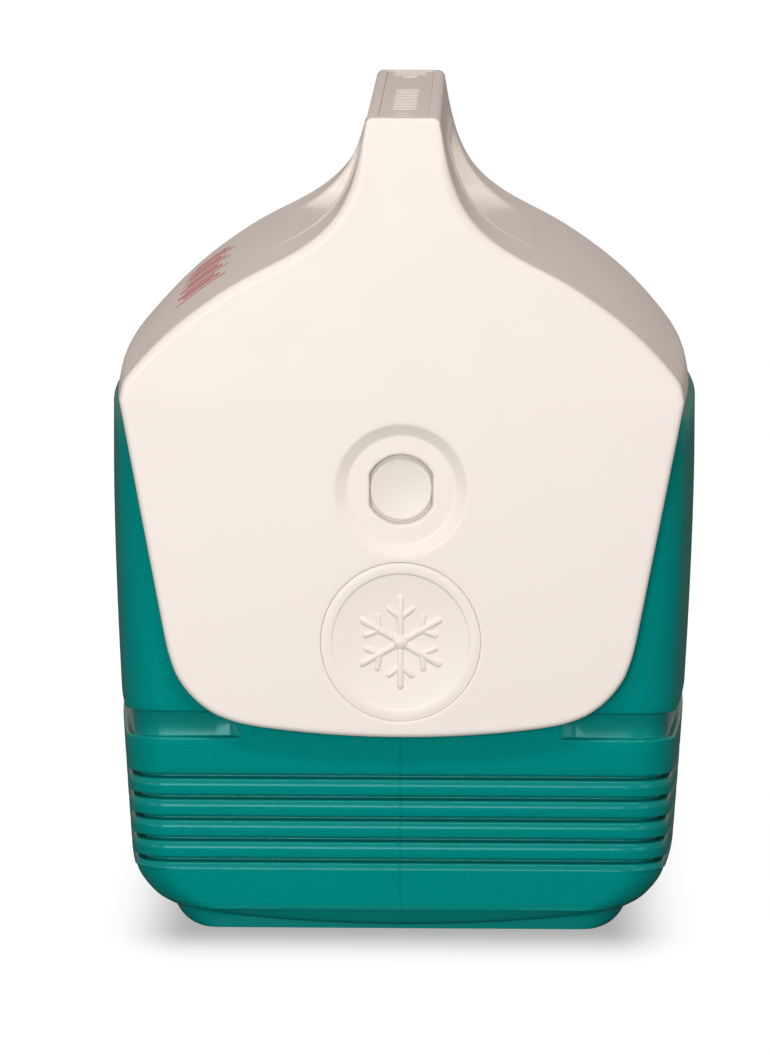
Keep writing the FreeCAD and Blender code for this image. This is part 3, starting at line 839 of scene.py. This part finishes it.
def relief_bar(skin, first, second, half_width, put_at, rise):
    """Low bar with round ends and soft edges between two points of a flat face."""
    (u1, v1), (u2, v2) = first, second
    heading = math.atan2(v2 - v1, u2 - u1)
    rows = []
    for grow, up in ((0.12, -0.15), (0.0, 0.06), (-0.08, rise * 0.6), (-0.26, rise)):
        loop = []
        for centre, start in ((second, -90), (first, 90)):
            for k in range(7):
                a = heading + math.radians(start + 30 * k)
                reach = half_width + grow
                loop.append((centre[0] + reach * math.cos(a), centre[1] + reach * math.sin(a)))
        rows.append((loop, up))
    skin.rows([[put_at(u, v, up) for u, v in loop] for loop, up in rows], closed=True)
    for loop, up in (rows[0], rows[-1]):
        skin.sheet(loop, [], [], lambda u, v: put_at(u, v, up))


def emblem_mesh(name, end):
    """Plain six-armed snow crystal."""
    skin = Skin()
    base = half_length - 0.55

    def put_at(u, v, up):
        return (u, end * (base + up), pivot_z + v)

    relief_bar(skin, (-0.01, 0.0), (0.01, 0.0), 2.7, put_at, 0.5)
    for turn in range(6):
        a = math.radians(90 + 60 * turn)
        tip = (15.0 * math.cos(a), 15.0 * math.sin(a))
        relief_bar(skin, (2.4 * math.cos(a), 2.4 * math.sin(a)), tip, 1.15, put_at, 0.42)
        root = (8.3 * math.cos(a), 8.3 * math.sin(a))
        for way in (-52, 52):
            b = a + math.radians(way)
            twig = (root[0] + 5.0 * math.cos(b), root[1] + 5.0 * math.sin(b))
            relief_bar(skin, root, twig, 0.95, put_at, 0.40)
    return skin.mesh(name, 50.0)


def button_mesh():
    front = flap_inner - button_set_back
    back = front - button_length
    barrel, flat = barrel_radius, barrel_flat
    rows = [(9.6, front - 0.1), (10.15, front), (10.4, front - 0.08), (10.6, front - 0.25),
            (11.2, front - 0.8), (11.6, front - 1.0), (barrel, front - 1.3), (barrel, back + 1.8)]
    skin = Skin()
    rings = [[(x, -out, z) for x, z in two_flats(radius, flat, button_z)] for radius, out in rows]
    rings += [[(x, -out, z) for x, z in circle(radius, button_z)]
              for radius, out in ((13.2, back + 1.8), (13.2, back), (8.5, back), (8.5, front - 1.8))]
    skin.rows(rings, closed=True)
    for ring in (rings[0], rings[-1]):
        out = ring[0][1]
        skin.sheet([(x, z) for x, _, z in ring], [], [], lambda x, z: (x, out, z))
    return skin.mesh("push_button_look", 35.0)


# ---- handle strip and roof stripes ----------------------------------------
def handle_strip_mesh():
    skin = Skin()
    floor_z = height - plate_recess
    rows = [(0.1, floor_z), (0.1, floor_z + 0.45), (0.2, floor_z + 0.62), (0.45, floor_z + 0.7)]
    loops = [[(x, y, z) for x, y in plate_outline(shrink)] for shrink, z in rows]
    skin.rows(loops, closed=True)
    for loop in (loops[0], loops[-1]):
        level_z = loop[0][2]
        skin.sheet([(x, y) for x, y, z in loop], [], [], lambda x, y: (x, y, level_z))
    return skin.mesh("handle_strip_look", 40.0)


def strip_marks_mesh():
    """Plain raised marks along the strip: rungs, an oval ring and a block of bars."""
    skin = Skin()
    top = height - 0.3

    def put_at(u, v, up):
        return (u, v, top + up)

    for k in range(14):
        y = -92.0 + 8.8 * k
        relief_bar(skin, (-2.9, y), (2.9, y), 1.5, put_at, 0.22)
    turns = [math.radians(22.5 * k) for k in range(17)]
    oval = [(3.6 * math.cos(a), -120 + 8.0 * math.sin(a)) for a in turns]
    for first, second in zip(oval, oval[1:]):
        relief_bar(skin, first, second, 0.5, put_at, 0.2)
    for y, half in ((98.0, 3.0), (106.0, 3.0), (114.0, 6.4), (122.0, 6.4), (130.0, 6.4)):
        relief_bar(skin, (-half + 1.6, y), (half - 1.6, y), 1.6, put_at, 0.22)
    return skin.mesh("strip_marks", 50.0)


def roof_stripes_mesh():
    """A band of slanting stripes printed on the roof's left slope."""
    skin = Skin()
    line_z = [z for x, z in profile]
    line_x = [x for x, z in profile]

    def at(y, z, out):
        x = widened(float(np.interp(z, line_z, line_x)), y)
        return (-(x + out * 0.6), y, z + out * 0.8)

    for k in range(12):
        start = -76.0 + 12.6 * k
        width = 8.6 if k % 3 else 5.0
        low, high = 208.8 + 1.6 * (k % 2), 220.8 - 1.4 * (k % 3)
        grid = [[(start + 9.0 * (z - 208.0) / 14.0 + width * i / 5, z) for i in range(6)]
                for z in stations(low, high, 1.2)]
        top = [[at(y, z, 0.06) for y, z in row] for row in grid]
        under = [[at(y, z, -0.4) for y, z in row] for row in grid]
        skin.rows(top)
        skin.rows(under)
        for a, b in ((top[0], under[0]), (top[-1], under[-1])):
            skin.strip(a, b)
        for i in (0, -1):
            skin.strip([row[i] for row in top], [row[i] for row in under])
    return skin.mesh("roof_stripes", 40.0)


# ---- materials ------------------------------------------------------------
def node_material(name):
    material = bpy.data.materials.new(name)
    material.use_nodes = True
    nodes = material.node_tree.nodes
    shader = nodes["Principled BSDF"]
    coords = nodes.new("ShaderNodeTexCoord")
    return material, nodes, material.node_tree.links, shader, coords


def plastic(name, colour, shade, roughness, pebble=0.0, pebble_size=900.0, coat=0.0):
    """Moulded plastic: faint colour drift, uneven gloss and a fine surface grain."""
    material, nodes, links, shader, coords = node_material(name)
    drift = nodes.new("ShaderNodeTexNoise")
    drift.inputs["Scale"].default_value = 14.0
    drift.inputs["Detail"].default_value = 3.0
    links.new(coords.outputs["Object"], drift.inputs["Vector"])
    mix = nodes.new("ShaderNodeMix")
    mix.data_type = "RGBA"
    mix.inputs["A"].default_value = (*colour, 1.0)
    mix.inputs["B"].default_value = (*shade, 1.0)
    links.new(drift.outputs["Fac"], mix.inputs["Factor"])
    links.new(mix.outputs["Result"], shader.inputs["Base Color"])
    gloss = nodes.new("ShaderNodeMapRange")
    gloss.inputs["To Min"].default_value = roughness - 0.05
    gloss.inputs["To Max"].default_value = roughness + 0.05
    fine = nodes.new("ShaderNodeTexNoise")
    fine.inputs["Scale"].default_value = 60.0
    links.new(coords.outputs["Object"], fine.inputs["Vector"])
    links.new(fine.outputs["Fac"], gloss.inputs["Value"])
    links.new(gloss.outputs["Result"], shader.inputs["Roughness"])
    if pebble > 0:
        grain = nodes.new("ShaderNodeTexVoronoi")
        grain.inputs["Scale"].default_value = pebble_size
        links.new(coords.outputs["Object"], grain.inputs["Vector"])
        bump = nodes.new("ShaderNodeBump")
        bump.inputs["Strength"].default_value = pebble
        bump.inputs["Distance"].default_value = 0.0003
        links.new(grain.outputs["Distance"], bump.inputs["Height"])
        links.new(bump.outputs["Normal"], shader.inputs["Normal"])
    shader.inputs["Coat Weight"].default_value = coat
    return material


def textured_teal():
    """Teal plastic, pebbled where the pebble attribute is 1 and glossier where it is 0."""
    material, nodes, links, shader, coords = node_material("teal_plastic")
    share = nodes.new("ShaderNodeAttribute")
    share.attribute_name = "pebble"
    drift = nodes.new("ShaderNodeTexNoise")
    drift.inputs["Scale"].default_value = 9.0
    drift.inputs["Detail"].default_value = 4.0
    links.new(coords.outputs["Object"], drift.inputs["Vector"])
    mix = nodes.new("ShaderNodeMix")
    mix.data_type = "RGBA"
    mix.inputs["A"].default_value = (*teal_light, 1.0)
    mix.inputs["B"].default_value = (*teal_deep, 1.0)
    links.new(drift.outputs["Fac"], mix.inputs["Factor"])
    cells = nodes.new("ShaderNodeTexVoronoi")
    cells.feature = "SMOOTH_F1"
    cells.inputs["Scale"].default_value = 1100.0
    cells.inputs["Randomness"].default_value = 1.0
    links.new(coords.outputs["Object"], cells.inputs["Vector"])
    patches = nodes.new("ShaderNodeTexNoise")
    patches.inputs["Scale"].default_value = 300.0
    patches.inputs["Detail"].default_value = 2.0
    links.new(coords.outputs["Object"], patches.inputs["Vector"])
    height_sum = nodes.new("ShaderNodeMath")
    height_sum.operation = "MULTIPLY_ADD"
    links.new(patches.outputs["Fac"], height_sum.inputs[0])
    height_sum.inputs[1].default_value = 0.1
    links.new(cells.outputs["Distance"], height_sum.inputs[2])
    masked = nodes.new("ShaderNodeMath")
    masked.operation = "MULTIPLY"
    links.new(height_sum.outputs[0], masked.inputs[0])
    links.new(share.outputs["Fac"], masked.inputs[1])
    bump = nodes.new("ShaderNodeBump")
    bump.inputs["Strength"].default_value = 0.4
    bump.inputs["Distance"].default_value = 0.00022
    links.new(masked.outputs[0], bump.inputs["Height"])
    links.new(bump.outputs["Normal"], shader.inputs["Normal"])
    gloss = nodes.new("ShaderNodeMapRange")
    gloss.inputs["To Min"].default_value = 0.18
    gloss.inputs["To Max"].default_value = 0.40
    links.new(share.outputs["Fac"], gloss.inputs["Value"])
    links.new(gloss.outputs["Result"], shader.inputs["Roughness"])
    links.new(mix.outputs["Result"], shader.inputs["Base Color"])
    shader.inputs["Specular IOR Level"].default_value = 0.3
    tint = nodes.new("ShaderNodeMix")
    tint.data_type = "RGBA"
    tint.inputs["A"].default_value = (0.55, 1.0, 0.98, 1.0)
    tint.inputs["B"].default_value = (0.02, 0.80, 0.76, 1.0)
    links.new(share.outputs["Fac"], tint.inputs["Factor"])
    links.new(tint.outputs["Result"], shader.inputs["Specular Tint"])
    return material


teal_light = (0.0, 0.25, 0.225)
teal_deep = (0.0, 0.218, 0.195)
teal = textured_teal()
cream = plastic("cream_plastic", (0.90, 0.845, 0.785), (0.89, 0.832, 0.770), 0.36, 0.03, 1500.0)
button_cream = plastic("button_plastic", (0.84, 0.79, 0.735), (0.83, 0.775, 0.72), 0.34)
white = plastic("liner_plastic", (0.86, 0.86, 0.84), (0.84, 0.84, 0.82), 0.3)
strip_cream = plastic("strip_plastic", (0.93, 0.87, 0.80), (0.91, 0.85, 0.78), 0.3)
mark_cream = plastic("mark_plastic", (0.90, 0.85, 0.80), (0.88, 0.83, 0.78), 0.35)
pink = plastic("stripe_ink", (0.62, 0.19, 0.20), (0.56, 0.15, 0.17), 0.45)
foam = plastic("foam_material", (0.85, 0.78, 0.58), (0.78, 0.70, 0.50), 0.9, 0.6, 400.0)
dark_teal = plastic("housing_plastic", (0.0, 0.10, 0.09), (0.0, 0.085, 0.075), 0.45)
washer_white = plastic("washer_plastic", (0.72, 0.72, 0.70), (0.68, 0.68, 0.66), 0.5)
steel = plastic("spring_steel", (0.56, 0.56, 0.57), (0.50, 0.50, 0.52), 0.28)
steel.node_tree.nodes["Principled BSDF"].inputs["Metallic"].default_value = 1.0

slot_material = {
    "tub_plastic": teal, "lid_plastic": cream, "button_plastic": button_cream, "liner_plastic": white,
    "plate_plastic": strip_cream, "foam": foam, "housing_plastic": dark_teal,
    "washer_plastic": washer_white, "spring_steel": steel,
}


def finish_cad_nodes():
    """Every piece that keeps its own mesh gets its slot's material."""
    slots = {row["node"]: row["material_slot"] for row in frame["record"]["subparts"]}
    for name, obj in frame["nodes"].items():
        obj.data.materials.clear()
        obj.data.materials.append(slot_material[slots[name]])


finish_cad_nodes()
piece("outer_shell_look", outer_shell_mesh(), "tub", teal, ("outer_shell",))
piece("lid_shell_look", lid_shell_mesh(), "lid", cream, ("lid_shell",))
piece("tub_liner_look", liner_mesh(), "tub", white, ("tub_liner",))
for end_name, end in (("front", -1), ("rear", 1)):
    piece("medallion_" + end_name, medallion_mesh("medallion_" + end_name, end), "lid", cream,
          ("pivot_plug_" + end_name,))
    piece("emblem_" + end_name, emblem_mesh("emblem_" + end_name, end), "lid", cream)
piece("push_button_look", button_mesh(), "button", button_cream, ("push_button",))
piece("handle_strip_look", handle_strip_mesh(), "lid", strip_cream, ("handle_plate",))
piece("strip_marks", strip_marks_mesh(), "lid", mark_cream)
piece("roof_stripes", roof_stripes_mesh(), "lid", pink)


# ---- surroundings ---------------------------------------------------------
shade_reach = 0.041             # metres
shade_depth = 0.58


def contact_shade(nodes, links, coords):
    """1 on the open floor, falling to a soft shade round the foot."""
    def maths(operation, first, second):
        node = nodes.new("ShaderNodeMath")
        node.operation = operation
        for socket, value in zip(node.inputs, (first, second)):
            if isinstance(value, (int, float)):
                socket.default_value = value
            elif value is not None:
                links.new(value, socket)
        return node.outputs[0]

    place = nodes.new("ShaderNodeSeparateXYZ")
    links.new(coords.outputs["Object"], place.inputs[0])
    away = []
    for axis, half, stretch in (("X", 0.070, 2.3), ("Y", 0.134, 1.0)):
        beyond = maths("SUBTRACT", maths("ABSOLUTE", place.outputs[axis], None), half)
        reach = maths("MULTIPLY", maths("MAXIMUM", beyond, 0.0), stretch / shade_reach)
        away.append(maths("MULTIPLY", reach, reach))
    falloff = maths("MULTIPLY", maths("ADD", away[0], away[1]), -1.0)
    dark = maths("MULTIPLY", maths("EXPONENT", falloff, None), shade_depth)
    return maths("SUBTRACT", 1.0, dark)


def floor():
    data = bpy.data.meshes.new("floor")
    size = 30.0
    corners = [(-size, -size, 0), (size, -size, 0), (size, size, 0), (-size, size, 0)]
    data.from_pydata(corners, [], [(0, 1, 2, 3)])
    obj = bpy.data.objects.new("floor", data)
    bpy.context.scene.collection.objects.link(obj)
    material, nodes, links, shader, coords = node_material("floor_white")
    shader.inputs["Roughness"].default_value = 0.9
    shader.inputs["Emission Color"].default_value = (1, 1, 1, 1)
    shade = contact_shade(nodes, links, coords)
    rays = nodes.new("ShaderNodeLightPath")
    glow = nodes.new("ShaderNodeMath")
    glow.operation = "MULTIPLY"
    links.new(shade, glow.inputs[0])
    links.new(rays.outputs["Is Camera Ray"], glow.inputs[1])
    links.new(glow.outputs[0], shader.inputs["Emission Strength"])
    paint = nodes.new("ShaderNodeMix")
    paint.data_type = "RGBA"
    paint.inputs["A"].default_value = (0.15, 0.15, 0.15, 1)
    paint.inputs["B"].default_value = (0.0, 0.0, 0.0, 1)
    links.new(rays.outputs["Is Camera Ray"], paint.inputs["Factor"])
    links.new(paint.outputs["Result"], shader.inputs["Base Color"])
    data.materials.append(material)


def area_light(name, place, target, size, power, colour=(1, 1, 1)):
    data = bpy.data.lights.new(name, "AREA")
    data.shape = "RECTANGLE"
    data.size, data.size_y = size
    data.energy = power
    data.color = colour
    obj = bpy.data.objects.new(name, data)
    obj.location = place
    obj.rotation_euler = (Vector(target) - Vector(place)).to_track_quat("-Z", "Y").to_euler()
    bpy.context.scene.collection.objects.link(obj)


def studio():
    world = bpy.data.worlds.new("studio")
    bpy.context.scene.world = world
    world.use_nodes = True
    nodes, links = world.node_tree.nodes, world.node_tree.links
    around = nodes["Background"]
    around.inputs["Color"].default_value = (1.0, 0.84, 0.77, 1)
    around.inputs["Strength"].default_value = 0.36
    seen = nodes.new("ShaderNodeBackground")
    seen.inputs["Color"].default_value = (1, 1, 1, 1)
    rays = nodes.new("ShaderNodeLightPath")
    mix = nodes.new("ShaderNodeMixShader")
    links.new(rays.outputs["Is Camera Ray"], mix.inputs["Fac"])
    links.new(around.outputs[0], mix.inputs[1])
    links.new(seen.outputs[0], mix.inputs[2])
    links.new(mix.outputs[0], nodes["World Output"].inputs["Surface"])
    middle = (0.0, 0.0, 0.14)
    area_light("key", (-0.5, -2.4, 0.25), middle, (1.3, 1.0), 31.5)
    area_light("fill", (1.5, -1.9, 0.4), middle, (1.2, 1.0), 7.0)
    area_light("strip", (0.0, -1.15, 1.95), middle, (1.8, 0.3), 17.0)
    area_light("side", (-1.7, -1.3, 0.12), middle, (0.8, 0.6), 4.0)


def camera():
    data = bpy.data.cameras.new("camera")
    data.lens = 263.1
    data.sensor_width = 36.0
    obj = bpy.data.objects.new("camera", data)
    obj.location = (0.0274, -2.7552, 0.4459)
    obj.rotation_euler = [math.radians(a) for a in (83.325, -0.236, 0.749)]
    bpy.context.scene.collection.objects.link(obj)
    bpy.context.scene.camera = obj


floor()
studio()
camera()
bpy.context.scene.view_settings.view_transform = "Standard"
